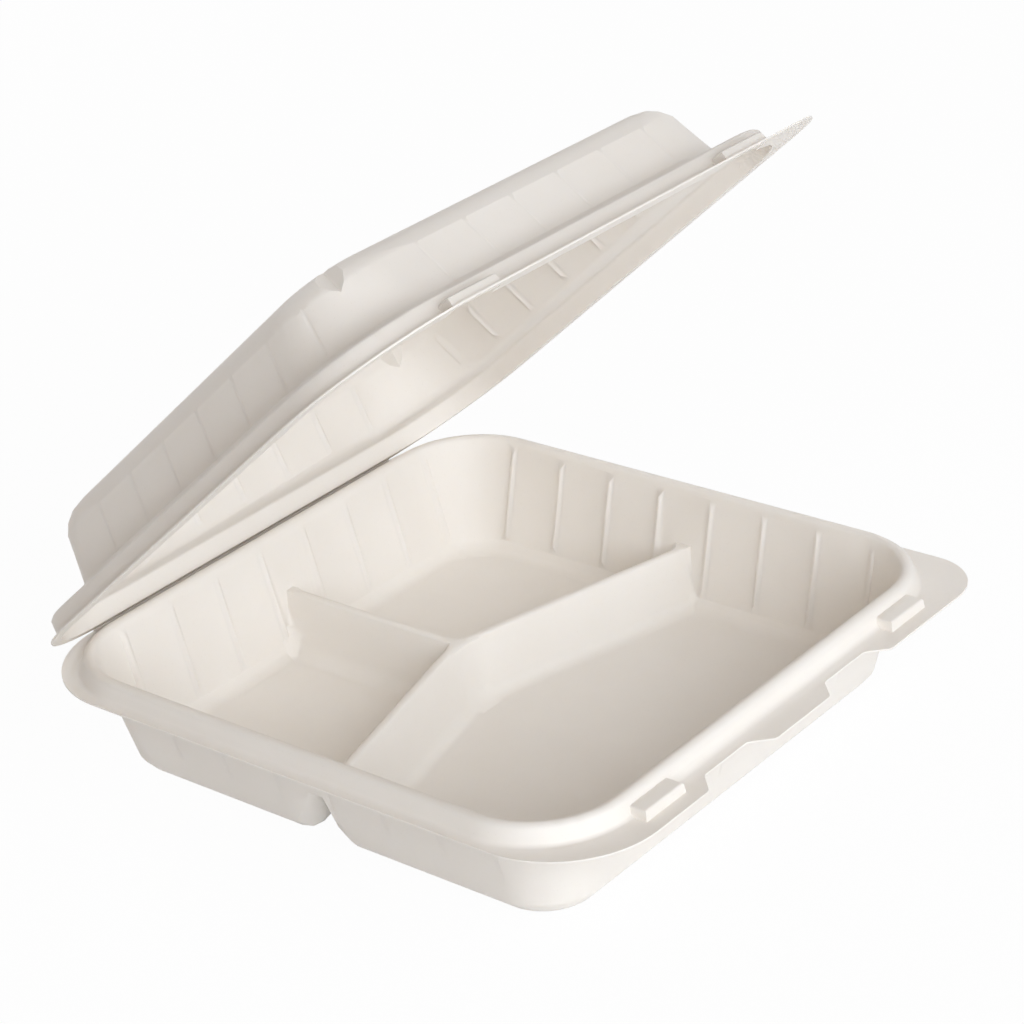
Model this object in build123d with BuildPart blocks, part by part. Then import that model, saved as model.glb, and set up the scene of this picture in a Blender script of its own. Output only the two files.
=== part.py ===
from build123d import *
from math import cos, degrees, hypot, radians, sin, tan
import os

# Hinged three-compartment takeout container, formed from one plastic sheet and split at its living hinge.
# X runs along the hinge, the latch side faces -Y, and the base rests on Z = 0.
# The lid is drawn shut and then swung open about the hinge.

# Sheet and overall sizes, in millimetres and degrees
sheet = 0.6
rim_half = 106.5
rim_corner = 31
base_height = 42.4
wall_draft = 15
lid_angle = 41

# Rim of the base: a raised bead with a flat flange round it
bead_height = 6.3
crest_inner = 2.6
crest_outer = 1.3
bead_draft = 18
bead_edge = 1.2
bead_foot = 1.2
crest_edge = 1.0
side_flange = 6.2
hinge_reach = 10.1
front_flange = 14.2
flange_corner = 36
tab_corner = 20

# Cut-outs in the front edge of the base's flange
cutout_inner = 15
cutout_outer = 50.8
cutout_depth = 6.4
cutout_round = 3

# Compartments and the hollow dividers between them
divider_drop = 20.3
divider_top = 3.4
divider_apex = 21.5
divider_end = -6.5
apex_round = 28
floor_round = 8.5
floor_bands = 2
corner_round = 11
corner_draft = 33
edge_drop = 0.8
edge_round = 5

# Ribs pressed into the walls, with shallower grooves behind them
rib_count = 8
rib_pitch = 22.45
rib_shift = -2.5
rib_width = 3.4
rib_crest = 1.2
rib_depth = 1.3
groove_depth = 0.4
rib_start = 2.5
rib_lead = 3
rib_length = 36
groove_length = 27

# Latch lugs on the front of the bead
lug_centre = 67.5
lug_shift = 2.5
lug_length = 20
lug_reach = 8.8
lug_drop = 2.8
lug_draft = 8
lug_edge = 0.7

# Lid
lid_height = 33.8
lid_gap = 0.3
lid_side_flange = 10
lid_front_flange = 12
lid_flange_corner = 47
shoulder_height = 6.9
shoulder_reach = 4.2
shoulder_draft = 10
shoulder_edge = 1.0
lid_wall_inset = 8.5
lid_wall_corner = 31
lid_top_round = 12
dome_bands = 3
foot_height = 3.2
dent_inset = 8.7
dent_drop = 9
dent_angle = 62
dent_turn = 9
lid_rib_shift = 4.8
lid_rib_length = 18
corner_rib_turn = 26
lug_clearance = 0.6

# Living hinge
hinge_radius = 0.6
hinge_clearance = 0.1

# Levels, slopes and plan sizes that follow from the sizes above
flange_level = base_height - bead_height
divider_level = base_height - divider_drop
rim_centre = rim_half - rim_corner
flange_half = rim_half + side_flange
hinge_y = rim_half + hinge_reach
hinge_z = flange_level + lid_gap / 2
base_front = -(rim_half + front_flange)
lid_level = flange_level + lid_gap
lid_half = rim_half + lid_side_flange
lid_front = -(rim_half + lid_front_flange)
shoulder_level = lid_level + shoulder_height
lid_wall_centre = rim_half - lid_wall_inset - lid_wall_corner
lug_height = bead_height - lug_drop
pocket_length = lug_length + 2 * lug_clearance
pocket_reach = lug_reach + lug_clearance
divider_slope = (divider_apex - divider_end) / rim_half
divider_stretch = hypot(1, divider_slope)
pick = sheet / 10


def lean(draft):
    """Sideways travel of a sloping face for each millimetre of height."""
    return tan(radians(draft))


def across(draft):
    """The sheet's thickness, measured level across a sloping face."""
    return sheet / cos(radians(draft))


def wall_half(level):
    """Half width between the food-side walls of the base at a level."""
    return rim_half - crest_inner - (base_height - level) * lean(wall_draft)


def lid_wall_half(level):
    """Half width between the inner walls of the shut lid at a level."""
    return rim_half - lid_wall_inset - (level - shoulder_level) * lean(wall_draft)


def frustum(half, centre, level, height, draft):
    """Square block with corners rounded about given centres, narrowing upwards by its draft."""
    with BuildPart() as block:
        with BuildSketch(Plane.XY.offset(level)):
            RectangleRounded(2 * half, 2 * half, half - centre)
        extrude(amount=height, taper=draft)
    return block.part


def bends(radius, height, bands):
    """Rise, inset and draft at each bend of a round made of flat bands, and at the wall's far edge."""
    turn = radians(90 - wall_draft)
    step = turn / (bands + 1)
    reach = radius / cos(step / 2)
    rows = []
    for band in range(bands + 1):
        angle = step * (band + 1 / 2)
        inset = radius * tan(turn / 2) - reach * sin(angle)
        rows.append((radius - reach * cos(angle), inset, 90 - degrees(step * (band + 1))))
    rows.append((height, -height * lean(wall_draft), wall_draft))
    return rows


def dents(skin):
    """V-shaped dents, each sloping down across one top corner of the lid, beside its front or back wall."""
    top = lid_level + lid_height - sheet
    inner_end = lid_wall_half(top) - lid_wall_centre - dent_inset
    slope = Vector(dent_inset + dent_drop * lean(wall_draft), 0, -dent_drop)
    outward = Vector(dent_drop, 0, slope.X).normalized()
    start = Vector(inner_end, 0, top) + outward * skin * sheet / sin(radians(dent_angle))
    half = dent_drop * lean(dent_angle)
    with BuildPart() as wedge:
        with BuildSketch(Plane(start, x_dir=(0, 1, 0), z_dir=slope)):
            with BuildLine():
                Polyline((0, 0), (half, dent_drop), (-half, dent_drop), close=True)
            make_face()
        extrude(amount=2 * dent_drop, both=True)
    turn = 45 + dent_turn
    corners = ((1, 1, turn), (-1, 1, 180 - turn), (-1, -1, 180 + turn), (1, -1, -turn))
    with BuildPart() as wedges:
        for x_side, y_side, angle in corners:
            centre = (x_side * lid_wall_centre, y_side * lid_wall_centre, 0)
            with Locations(Location(centre, (0, 0, angle))):
                add(wedge.part)
    return wedges.part


def dome(skin):
    """Lid's sloping wall foot, walls and rounded top as a block, with a dent across each top corner."""
    height = lid_height - sheet + skin * sheet
    half = lid_wall_half(lid_level) + skin * across(wall_draft)
    rows = bends(lid_top_round - sheet + skin * sheet, height, dome_bands)
    foot_level = shoulder_level + skin * sheet
    foot_draft = (90 + wall_draft) / 2
    foot_top_half = lid_wall_half(foot_level + foot_height) + skin * across(wall_draft)
    foot_half = foot_top_half + foot_height * lean(foot_draft)
    with BuildPart() as block:
        for (upper, _, draft), (lower, inset, _) in zip(rows, rows[1:]):
            band_half = half - height * lean(wall_draft) - inset
            add(frustum(band_half, lid_wall_centre, lid_level + height - lower, lower - upper, draft))
        add(dents(skin), mode=Mode.SUBTRACT)
        add(frustum(foot_half, lid_wall_centre, foot_level, foot_height, foot_draft))
    return block.part


def divider_gap(level, grow):
    """Half thickness of a divider at a level, less the growth of the compartments beside it."""
    return divider_top / 2 + (divider_level - level) * lean(wall_draft) - grow


def main_outline(level, grow, end_round):
    """Corners and rounds of the front compartment at a level, with its walls moved out."""
    half = wall_half(level) + grow
    apex = divider_apex - divider_gap(level, grow) * divider_stretch
    end = apex - half * divider_slope
    points = [(-half, -half), (half, -half), (half, end), (0, apex), (-half, end)]
    tray_round = half - rim_centre
    return points, [tray_round, tray_round, end_round, apex_round + grow, end_round]


def rear_outline(level, grow, end_round):
    """Corners and rounds of the rear compartment on the +X side at a level, with its walls moved out."""
    half = wall_half(level) + grow
    gap = divider_gap(level, grow)
    front = divider_apex + gap * divider_stretch
    points = [
        (gap, front - gap * divider_slope),
        (half, front - half * divider_slope),
        (half, half),
        (gap, half),
    ]
    return points, [end_round, end_round, half - rim_centre, end_round]


def widening(outline, level, height, draft):
    """Block on an outline's corners and rounds, widening upwards by its draft."""
    points, rounds = outline
    with BuildPart() as block:
        with BuildSketch(Plane.XY.offset(level)):
            with BuildLine():
                FilletPolyline(*points, radius=rounds, close=True)
            make_face()
        extrude(amount=height, taper=-draft)
    return block.part


def compartment(outline, floor, top, skin):
    """One compartment, with rounds along its floor and up its divider ends that run out at the top."""
    grow = skin * across(wall_draft)
    rows = bends(floor_round + skin * sheet, top - floor, floor_bands)
    rounded = outline(floor, grow, corner_round + grow)
    with BuildPart() as pocket:
        for (lower, inset, draft), (upper, _, _) in zip(rows, rows[1:]):
            add(widening(outline(floor, grow - inset, 0), floor + lower, upper - lower, draft))
        add(widening(rounded, floor, top - floor, corner_draft), mode=Mode.INTERSECT)
    return pocket.part


def divider_edge(outline):
    """Space over the sloping edge of the divider tops beside one compartment."""
    level = divider_level - edge_drop
    with BuildPart() as edge:
        add(widening(outline(level, 0, edge_round), level, edge_drop, (90 + wall_draft) / 2))
        add(frustum(wall_half(level), rim_centre, level, edge_drop, -wall_draft), mode=Mode.INTERSECT)
    return edge.part


def rib(start_x, start_z, way, length, depth):
    """Rib on the +X wall, running up (way 1) or down (way -1) it with a ramp at each end."""
    along = Vector(-lean(wall_draft), 0, way).normalized()
    inward = Vector(-1, 0, -way * lean(wall_draft)).normalized()
    start = Vector(start_x, 0, start_z)
    section = Plane(start + inward * depth, x_dir=(0, -way, 0), z_dir=along)
    ramp = along * rib_lead + inward * depth
    run_out = along * rib_lead - inward * depth
    lead_in = Plane(start, x_dir=(0, 1, 0), z_dir=ramp.cross(Vector(0, 1, 0)))
    lead_out = Plane(start + along * length, x_dir=(0, 1, 0), z_dir=run_out.cross(Vector(0, 1, 0)))
    foot = depth + sheet
    foot_half = rib_crest / 2 + foot * (rib_width - rib_crest) / 2 / rib_depth
    kept = Keep.BOTTOM if way > 0 else Keep.TOP
    with BuildPart() as ridge:
        with BuildSketch(section):
            with BuildLine():
                Polyline(
                    (-rib_crest / 2, 0),
                    (rib_crest / 2, 0),
                    (foot_half, foot),
                    (-foot_half, foot),
                    close=True,
                )
            make_face()
        extrude(amount=length)
        split(bisect_by=lead_in, keep=kept)
        split(bisect_by=lead_out, keep=kept)
    return ridge.part


def ribs(ridge, shifts):
    """Rows of one rib on all four walls, from the +X wall round to the -Y one, with each row's shift."""
    with BuildPart() as walls:
        for wall, shift in enumerate(shifts):
            with Locations(Rotation(0, 0, 90 * wall)):
                with Locations((0, shift)):
                    with GridLocations(0, rib_pitch, 1, rib_count):
                        add(ridge)
    return walls.part


def lid_ribs(skin, depth):
    """Rows of ribs on the lid's walls, and one rib on each front corner beside its side wall."""
    level = shoulder_level + foot_height
    back = Vector(1, 0, lean(wall_draft)).normalized() * skin * sheet
    wall = lid_wall_half(level) + back.X
    wall_rib = rib(wall, level + back.Z, 1, lid_rib_length, depth)
    corner_rib = rib(wall - lid_wall_centre, level + back.Z, 1, lid_rib_length, depth)
    with BuildPart() as rows:
        add(ribs(wall_rib, (-lid_rib_shift, -lid_rib_shift, lid_rib_shift, lid_rib_shift)))
        for side, turn in ((1, -corner_rib_turn), (-1, 180 + corner_rib_turn)):
            with Locations(Location((side * lid_wall_centre, -lid_wall_centre, 0), (0, 0, turn))):
                add(corner_rib)
    return rows.part


def flange(level, half, front, corner, notched):
    """Flat flange in one sheet, with the pull tab at its +X front corner."""
    notch = [
        (-cutout_outer, front),
        (-cutout_outer + cutout_depth, front + cutout_depth),
        (-cutout_inner - cutout_depth, front + cutout_depth),
        (-cutout_inner, front),
    ]
    mirrored = [(-x, y) for x, y in reversed(notch)]
    points = [(half, hinge_y), (-half, hinge_y), (-half, front)]
    rounds = [corner, corner, corner]
    if notched:
        points += notch + mirrored
        rounds += [cutout_round] * len(notch + mirrored)
    points.append((half, front))
    rounds.append(tab_corner)
    with BuildPart() as plate:
        with BuildSketch(Plane.XY.offset(level)):
            with BuildLine():
                FilletPolyline(*points, radius=rounds, close=True)
            make_face()
        extrude(amount=sheet)
    return plate.part


def lugs(level, length, inner, outer, height):
    """Two drafted blocks on the front of the rim, from an inner to an outer distance off the crest."""
    middle = -rim_half - (inner + outer) / 2
    top = level + height
    with BuildPart() as blocks:
        with BuildSketch(Plane.XY.offset(level)):
            with Locations((lug_shift - lug_centre, middle), (lug_shift + lug_centre, middle)):
                Rectangle(length, outer - inner)
        extrude(amount=height, taper=lug_draft)
        chamfer(blocks.edges().filter_by_position(Axis.Z, top - pick, top + pick), lug_edge)
    return blocks.part


def shoulder(skin):
    """Step in the lid's rim that drops over the base's bead."""
    half = rim_half + shoulder_reach + skin * across(shoulder_draft)
    with BuildPart() as step:
        add(frustum(half, rim_centre, lid_level, shoulder_height + skin * sheet, shoulder_draft))
        chamfer(step.faces().sort_by(Axis.Z)[-1].edges(), shoulder_edge)
    return step.part


# Space above the base's food side
rib_top = base_height - rib_start
base_shifts = [rib_shift] * 4
base_rib = rib(wall_half(rib_top), rib_top, -1, rib_length, rib_depth)
with BuildPart() as food_space:
    add(frustum(wall_half(divider_level), rim_centre, divider_level, divider_drop + bead_height, -wall_draft))
    add(compartment(main_outline, sheet, divider_level, 0))
    add(divider_edge(main_outline))
    for rear_space in (compartment(rear_outline, sheet, divider_level, 0), divider_edge(rear_outline)):
        add(rear_space)
        add(mirror(rear_space, about=Plane.YZ, mode=Mode.PRIVATE))
    add(ribs(base_rib, base_shifts), mode=Mode.SUBTRACT)

# Outside of the base's walls and compartments, with grooves behind the ribs
tray_floor = divider_level - sheet
tray_half = wall_half(tray_floor) + across(wall_draft)
base_back = Vector(1, 0, -lean(wall_draft)).normalized() * sheet
base_groove = rib(wall_half(rib_top) + base_back.X, rib_top + base_back.Z, -1, groove_length, groove_depth)
with BuildPart() as tray_skin:
    add(frustum(tray_half, rim_centre, tray_floor, divider_drop + sheet / 2, -wall_draft))
    add(compartment(main_outline, 0, tray_floor, 1))
    rear_skin = compartment(rear_outline, 0, tray_floor, 1)
    add(rear_skin)
    add(mirror(rear_skin, about=Plane.YZ, mode=Mode.PRIVATE))
    add(ribs(base_groove, base_shifts), mode=Mode.SUBTRACT)

# Base: flange, hollow bead and latch lugs, then the walls and the space they hold
bead_half = rim_half + crest_outer + bead_height * lean(bead_draft)
hollow_half = bead_half - across(bead_draft) + sheet * lean(bead_draft)
with BuildPart() as base:
    add(frustum(bead_half, rim_centre, flange_level, bead_height, bead_draft))
    chamfer(base.faces().sort_by(Axis.Z)[-1].edges(), bead_edge)
    add(flange(flange_level - sheet, flange_half, base_front, flange_corner, True))
    foot_edges = base.edges().filter_by_position(Axis.Z, flange_level - pick, flange_level + pick).filter_by(
        lambda edge: all(max(abs(end.X), abs(end.Y)) < bead_half + sheet for end in edge.vertices())
    )
    chamfer(foot_edges, bead_foot)
    add(lugs(flange_level, lug_length, crest_outer, lug_reach, lug_height))
    add(frustum(hollow_half, rim_centre, flange_level - sheet, bead_height, bead_draft), mode=Mode.SUBTRACT)
    lug_hollows = lugs(flange_level - sheet, lug_length - 2 * sheet, 0, lug_reach - sheet, lug_height)
    add(lug_hollows, mode=Mode.SUBTRACT)
    with Locations((0, hinge_y, hinge_z)):
        Cylinder(hinge_radius, 2 * (flange_half - flange_corner), rotation=(0, 90, 0))
    add(tray_skin.part)
    add(food_space.part, mode=Mode.SUBTRACT)
    crest_edges = base.edges().filter_by_position(Axis.Z, base_height - pick, base_height + pick).filter_by(
        lambda edge: all(max(abs(end.X), abs(end.Y)) < rim_half for end in edge.vertices())
    )
    chamfer(crest_edges, crest_edge)

# Space under the shut lid
with BuildPart() as lid_space:
    add(dome(0))
    add(lid_ribs(0, rib_depth), mode=Mode.SUBTRACT)
    add(shoulder(0))
    add(lugs(lid_level, pocket_length, 0, pocket_reach, lug_height))

# Lid, drawn shut: flange, shoulder and domed top over that space
with BuildPart() as lid:
    add(dome(1))
    add(lid_ribs(1, groove_depth), mode=Mode.SUBTRACT)
    add(shoulder(1))
    add(lugs(lid_level, pocket_length + 2 * sheet, 0, pocket_reach + sheet, lug_height + sheet))
    add(flange(lid_level, lid_half, lid_front, lid_flange_corner, False))
    add(lid_space.part, mode=Mode.SUBTRACT)
    with Locations((0, hinge_y, hinge_z)):
        Cylinder(hinge_radius + hinge_clearance, 2 * lid_half, rotation=(0, 90, 0), mode=Mode.SUBTRACT)

hinge_axis = Axis((0, hinge_y, hinge_z), (1, 0, 0))
open_lid = lid.part.rotate(hinge_axis, -lid_angle)

base.part.label = "base"
open_lid.label = "lid"
os.makedirs("parts", exist_ok=True)
export_step(base.part, "parts/base.step")
export_step(open_lid, "parts/lid.step")
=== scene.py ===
from math import cos, radians, sin

import bpy
from mathutils import Matrix, Vector

# Hinged takeout container of formed off-white plastic, half open, on a white studio floor.
# Lengths are in metres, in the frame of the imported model.

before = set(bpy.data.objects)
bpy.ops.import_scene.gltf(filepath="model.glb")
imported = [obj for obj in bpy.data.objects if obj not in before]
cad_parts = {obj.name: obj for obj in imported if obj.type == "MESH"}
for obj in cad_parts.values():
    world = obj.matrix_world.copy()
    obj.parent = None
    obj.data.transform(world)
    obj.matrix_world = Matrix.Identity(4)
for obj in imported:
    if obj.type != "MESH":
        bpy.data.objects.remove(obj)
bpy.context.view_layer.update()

# Soft shading: bends up to an angle look round, and up to a smaller one near the lid's dents.
# The dents' place is that of the shut lid, in the quarter where x and y are positive.
WELD_GAP = 1e-6
SMOOTH_ANGLE = radians(55)
DENT_SMOOTH_ANGLE = radians(25)
DENT_PLACE = (0.080, 0.085, 0.0658)
DENT_REACH = 0.0086
HINGE = (0, 0.1166, 0.03625)
LID_ANGLE = radians(41)

# Colours, as linear values
SHEET_COLOUR = (0.840, 0.790, 0.730, 1)
SHEET_SHADE = (0.815, 0.762, 0.698, 1)
SPECK_COLOUR = (0.64, 0.57, 0.48, 1)
FLOOR_COLOUR = (0.92, 0.92, 0.92, 1)
WHITE = (1, 1, 1, 1)
AMBIENT_COLOUR = (1.0, 0.7, 0.42, 1)
AMBIENT_LEVEL = 0.16

# Surface of the sheet: scales are counts per metre, and speck sizes are shares of a cell
MOTTLE_SCALE = 24.0
MOTTLE_DETAIL = 4.0
MOTTLE_ROUGHNESS = 0.55
MOTTLE_LOW = 0.3
MOTTLE_HIGH = 0.7
SPECK_SCALE = 650.0
SPECK_CORE = 0.05
SPECK_EDGE = 0.16
SPECK_TINT = 0.2
ROUGHNESS_LOW = 0.42
ROUGHNESS_HIGH = 0.58
SPECULAR_LEVEL = 0.4
SCATTER_SHARE = 0.15
SCATTER_TINT = (1.0, 0.85, 0.65)
SCATTER_DEPTH = 0.0008

# Places of the colour sockets on a Mix node
MIX_FACTOR = 0
MIX_FIRST = 6
MIX_SECOND = 7
MIX_RESULT = 2

# Part of the floor's look that is plain white to the camera; the rest keeps the object's shadow
FLOOR_WHITE_SHARE = 0.96
FLOOR_REACH = 6
FLOOR_LEVEL = -0.0002

# Soft boxes round the object, strongest at the front: name, place and watts
LAMP_TARGET = Vector((0, 0, 0.08))
LAMP_SIZE = 1.4
LAMP_COLOUR = (0.85, 0.92, 1.0)
LAMPS = (
    ("front_low", (0.45, -1.6, 0.45), 4.5),
    ("front_high", (0.3, -1.4, 1.0), 9.0),
    ("front_left", (-0.8, -1.4, 0.7), 12.0),
    ("low_left", (-0.9, -1.4, 0.4), 7.0),
    ("side_left", (-1.3, -0.9, 0.9), 9.0),
    ("side_right", (1.6, 0.5, 0.8), 6.0),
    ("back", (0.3, 1.6, 1.0), 12.0),
)

# Camera, matched to the photo
CAMERA_TARGET = Vector((0.05660, 0.04034, 0.0424))
CAMERA_AZIMUTH = radians(-49.223)
CAMERA_ELEVATION = radians(26.217)
CAMERA_ROLL = radians(-4.815)
CAMERA_DISTANCE = 1.06265
CAMERA_LENS = 105.503
SENSOR_WIDTH = 36


def node(tree, kind, **values):
    """New shader or geometry node with its settings and unlinked inputs."""
    made = tree.nodes.new(kind)
    for name, value in values.items():
        if name in made.inputs:
            made.inputs[name].default_value = value
        else:
            setattr(made, name, value)
    return made


def new_material(name):
    """Material with an empty node tree."""
    material = bpy.data.materials.new(name)
    material.use_nodes = True
    material.node_tree.nodes.clear()
    return material


def formed_sheet():
    """Satin filled plastic: off-white, mottled in colour and gloss, with fine filler specks."""
    material = new_material("formed_sheet_finish")
    tree = material.node_tree
    link = tree.links.new
    place = node(tree, "ShaderNodeTexCoord").outputs["Object"]

    mottle = node(tree, "ShaderNodeTexNoise")
    mottle.inputs["Scale"].default_value = MOTTLE_SCALE
    mottle.inputs["Detail"].default_value = MOTTLE_DETAIL
    mottle.inputs["Roughness"].default_value = MOTTLE_ROUGHNESS
    link(place, mottle.inputs["Vector"])
    colour = node(tree, "ShaderNodeValToRGB")
    shade_end, light_end = colour.color_ramp.elements
    shade_end.position = MOTTLE_LOW
    shade_end.color = SHEET_SHADE
    light_end.position = MOTTLE_HIGH
    light_end.color = SHEET_COLOUR
    link(mottle.outputs["Fac"], colour.inputs["Fac"])

    specks = node(tree, "ShaderNodeTexVoronoi", **{"Scale": SPECK_SCALE, "Randomness": 1.0})
    link(place, specks.inputs["Vector"])
    speck_tint = node(tree, "ShaderNodeMapRange")
    speck_tint.inputs["From Min"].default_value = SPECK_CORE
    speck_tint.inputs["From Max"].default_value = SPECK_EDGE
    speck_tint.inputs["To Min"].default_value = SPECK_TINT
    speck_tint.inputs["To Max"].default_value = 0.0
    link(specks.outputs["Distance"], speck_tint.inputs["Value"])
    tinted = node(tree, "ShaderNodeMix", data_type="RGBA")
    link(speck_tint.outputs["Result"], tinted.inputs[MIX_FACTOR])
    link(colour.outputs["Color"], tinted.inputs[MIX_FIRST])
    tinted.inputs[MIX_SECOND].default_value = SPECK_COLOUR

    gloss = node(tree, "ShaderNodeMapRange", **{"To Min": ROUGHNESS_LOW, "To Max": ROUGHNESS_HIGH})
    link(mottle.outputs["Fac"], gloss.inputs["Value"])

    shader = node(tree, "ShaderNodeBsdfPrincipled")
    shader.inputs["Specular IOR Level"].default_value = SPECULAR_LEVEL
    shader.inputs["Subsurface Weight"].default_value = SCATTER_SHARE
    shader.inputs["Subsurface Radius"].default_value = SCATTER_TINT
    shader.inputs["Subsurface Scale"].default_value = SCATTER_DEPTH
    link(tinted.outputs[MIX_RESULT], shader.inputs["Base Color"])
    link(gloss.outputs["Result"], shader.inputs["Roughness"])
    output = node(tree, "ShaderNodeOutputMaterial")
    link(shader.outputs["BSDF"], output.inputs["Surface"])
    return material


def near_dents(group):
    """Socket that is true at the dents in the lid's top corners, found with the lid turned shut."""
    link = group.links.new
    place = node(group, "GeometryNodeInputPosition")
    shut = node(group, "ShaderNodeVectorRotate", rotation_type="X_AXIS")
    shut.inputs["Center"].default_value = HINGE
    shut.inputs["Angle"].default_value = LID_ANGLE
    link(place.outputs["Position"], shut.inputs["Vector"])
    quarter = node(group, "ShaderNodeVectorMath", operation="ABSOLUTE")
    link(shut.outputs["Vector"], quarter.inputs[0])
    distance = node(group, "ShaderNodeVectorMath", operation="DISTANCE")
    link(quarter.outputs["Vector"], distance.inputs[0])
    distance.inputs[1].default_value = DENT_PLACE
    near = node(group, "FunctionNodeCompare", data_type="FLOAT", operation="LESS_THAN", B=DENT_REACH)
    link(distance.outputs["Value"], near.inputs["A"])
    return near.outputs["Result"]


def smooth_by_angle():
    """Geometry nodes that shade faces smooth and keep edges above an angle sharp."""
    group = bpy.data.node_groups.new("smooth_by_angle", "GeometryNodeTree")
    group.interface.new_socket("Geometry", in_out="INPUT", socket_type="NodeSocketGeometry")
    group.interface.new_socket("Geometry", in_out="OUTPUT", socket_type="NodeSocketGeometry")
    link = group.links.new
    start = node(group, "NodeGroupInput")
    end = node(group, "NodeGroupOutput")
    angle = node(group, "GeometryNodeInputMeshEdgeAngle")
    limit = node(group, "GeometryNodeSwitch", input_type="FLOAT")
    limit.inputs["False"].default_value = SMOOTH_ANGLE
    limit.inputs["True"].default_value = DENT_SMOOTH_ANGLE
    link(near_dents(group), limit.inputs["Switch"])
    below = node(group, "FunctionNodeCompare", data_type="FLOAT", operation="LESS_EQUAL")
    faces = node(group, "GeometryNodeSetShadeSmooth", domain="FACE")
    edges = node(group, "GeometryNodeSetShadeSmooth", domain="EDGE")
    link(angle.outputs["Unsigned Angle"], below.inputs["A"])
    link(limit.outputs["Output"], below.inputs["B"])
    link(start.outputs["Geometry"], faces.inputs["Geometry"])
    link(faces.outputs["Geometry"], edges.inputs["Geometry"])
    link(below.outputs["Result"], edges.inputs["Shade Smooth"])
    link(edges.outputs["Geometry"], end.inputs["Geometry"])
    return group


def finish_sheet(piece, material, smoothing):
    """Material and soft shading for one half of the container."""
    piece.data.materials.clear()
    piece.data.materials.append(material)
    piece.data.attributes.remove(piece.data.attributes["custom_normal"])
    weld = piece.modifiers.new("weld", "WELD")
    weld.merge_threshold = WELD_GAP
    smooth = piece.modifiers.new("smooth_by_angle", "NODES")
    smooth.node_group = smoothing
    normals = piece.modifiers.new("even_normals", "WEIGHTED_NORMAL")
    normals.keep_sharp = True


def seen_white(tree):
    """Socket that is 1 for rays that the camera sees straight, mirrored or through a surface."""
    paths = node(tree, "ShaderNodeLightPath")
    seen = node(tree, "ShaderNodeMath", operation="MAXIMUM")
    tree.links.new(paths.outputs["Is Camera Ray"], seen.inputs[0])
    tree.links.new(paths.outputs["Is Glossy Ray"], seen.inputs[1])
    shown = node(tree, "ShaderNodeMath", operation="MAXIMUM")
    tree.links.new(seen.outputs[0], shown.inputs[0])
    tree.links.new(paths.outputs["Is Transmission Ray"], shown.inputs[1])
    return shown.outputs[0]


def studio_floor():
    """White floor that keeps a faint shadow of the object."""
    material = new_material("studio_white")
    tree = material.node_tree
    link = tree.links.new
    share = node(tree, "ShaderNodeMath", operation="MULTIPLY")
    link(seen_white(tree), share.inputs[0])
    share.inputs[1].default_value = FLOOR_WHITE_SHARE
    paint = node(tree, "ShaderNodeBsdfDiffuse", **{"Color": FLOOR_COLOUR})
    glow = node(tree, "ShaderNodeEmission", **{"Color": WHITE, "Strength": 1.0})
    mix = node(tree, "ShaderNodeMixShader")
    link(share.outputs[0], mix.inputs[0])
    link(paint.outputs["BSDF"], mix.inputs[1])
    link(glow.outputs["Emission"], mix.inputs[2])
    output = node(tree, "ShaderNodeOutputMaterial")
    link(mix.outputs["Shader"], output.inputs["Surface"])

    mesh = bpy.data.meshes.new("floor")
    signs = ((-1, -1), (1, -1), (1, 1), (-1, 1))
    corners = [(x * FLOOR_REACH, y * FLOOR_REACH, FLOOR_LEVEL) for x, y in signs]
    mesh.from_pydata(corners, [], [(0, 1, 2, 3)])
    mesh.materials.append(material)
    floor = bpy.data.objects.new("floor", mesh)
    bpy.context.scene.collection.objects.link(floor)


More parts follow.
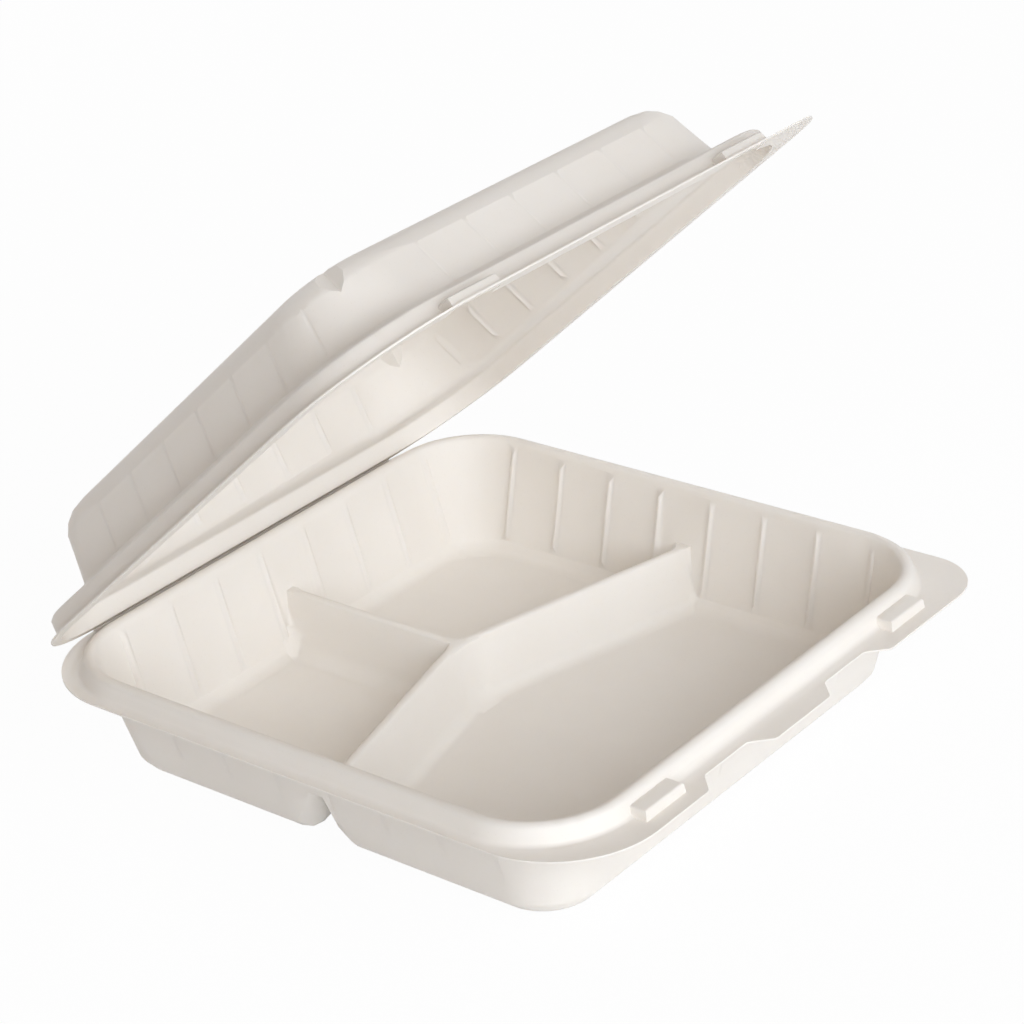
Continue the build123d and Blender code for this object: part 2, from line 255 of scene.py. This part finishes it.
def studio_world():
    """White to the camera and in reflections, and a dim warm ambient light to everything else."""
    world = bpy.data.worlds.new("studio")
    bpy.context.scene.world = world
    world.use_nodes = True
    tree = world.node_tree
    tree.nodes.clear()
    link = tree.links.new
    ambient = node(tree, "ShaderNodeBackground", **{"Color": AMBIENT_COLOUR, "Strength": AMBIENT_LEVEL})
    white = node(tree, "ShaderNodeBackground", **{"Color": WHITE, "Strength": 1.0})
    mix = node(tree, "ShaderNodeMixShader")
    link(seen_white(tree), mix.inputs[0])
    link(ambient.outputs["Background"], mix.inputs[1])
    link(white.outputs["Background"], mix.inputs[2])
    output = node(tree, "ShaderNodeOutputWorld")
    link(mix.outputs["Shader"], output.inputs["Surface"])


def softbox(name, place, watts):
    """Square area light turned to the object."""
    light = bpy.data.lights.new(name, "AREA")
    light.shape = "SQUARE"
    light.size = LAMP_SIZE
    light.energy = watts
    light.color = LAMP_COLOUR
    lamp = bpy.data.objects.new(name, light)
    lamp.location = place
    lamp.rotation_mode = "QUATERNION"
    lamp.rotation_quaternion = (LAMP_TARGET - Vector(place)).to_track_quat("-Z", "Y")
    bpy.context.scene.collection.objects.link(lamp)


def photo_camera():
    """Camera at the photo's angle, distance and lens."""
    back = Vector((
        sin(CAMERA_AZIMUTH) * cos(CAMERA_ELEVATION),
        -cos(CAMERA_AZIMUTH) * cos(CAMERA_ELEVATION),
        sin(CAMERA_ELEVATION),
    ))
    level_right = (-back).cross(Vector((0, 0, 1))).normalized()
    level_up = level_right.cross(-back)
    right = cos(CAMERA_ROLL) * level_right + sin(CAMERA_ROLL) * level_up
    up = cos(CAMERA_ROLL) * level_up - sin(CAMERA_ROLL) * level_right
    turn = Matrix((right, up, back)).transposed()
    data = bpy.data.cameras.new("photo_camera")
    data.lens = CAMERA_LENS
    data.sensor_width = SENSOR_WIDTH
    camera = bpy.data.objects.new("photo_camera", data)
    place = CAMERA_TARGET + back * CAMERA_DISTANCE
    camera.matrix_world = Matrix.Translation(place) @ turn.to_4x4()
    bpy.context.scene.collection.objects.link(camera)
    bpy.context.scene.camera = camera


sheet_material = formed_sheet()
sheet_smoothing = smooth_by_angle()
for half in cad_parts.values():
    finish_sheet(half, sheet_material, sheet_smoothing)

studio_floor()
studio_world()
for lamp_values in LAMPS:
    softbox(*lamp_values)
photo_camera()
bpy.context.scene.view_settings.view_transform = "Standard"
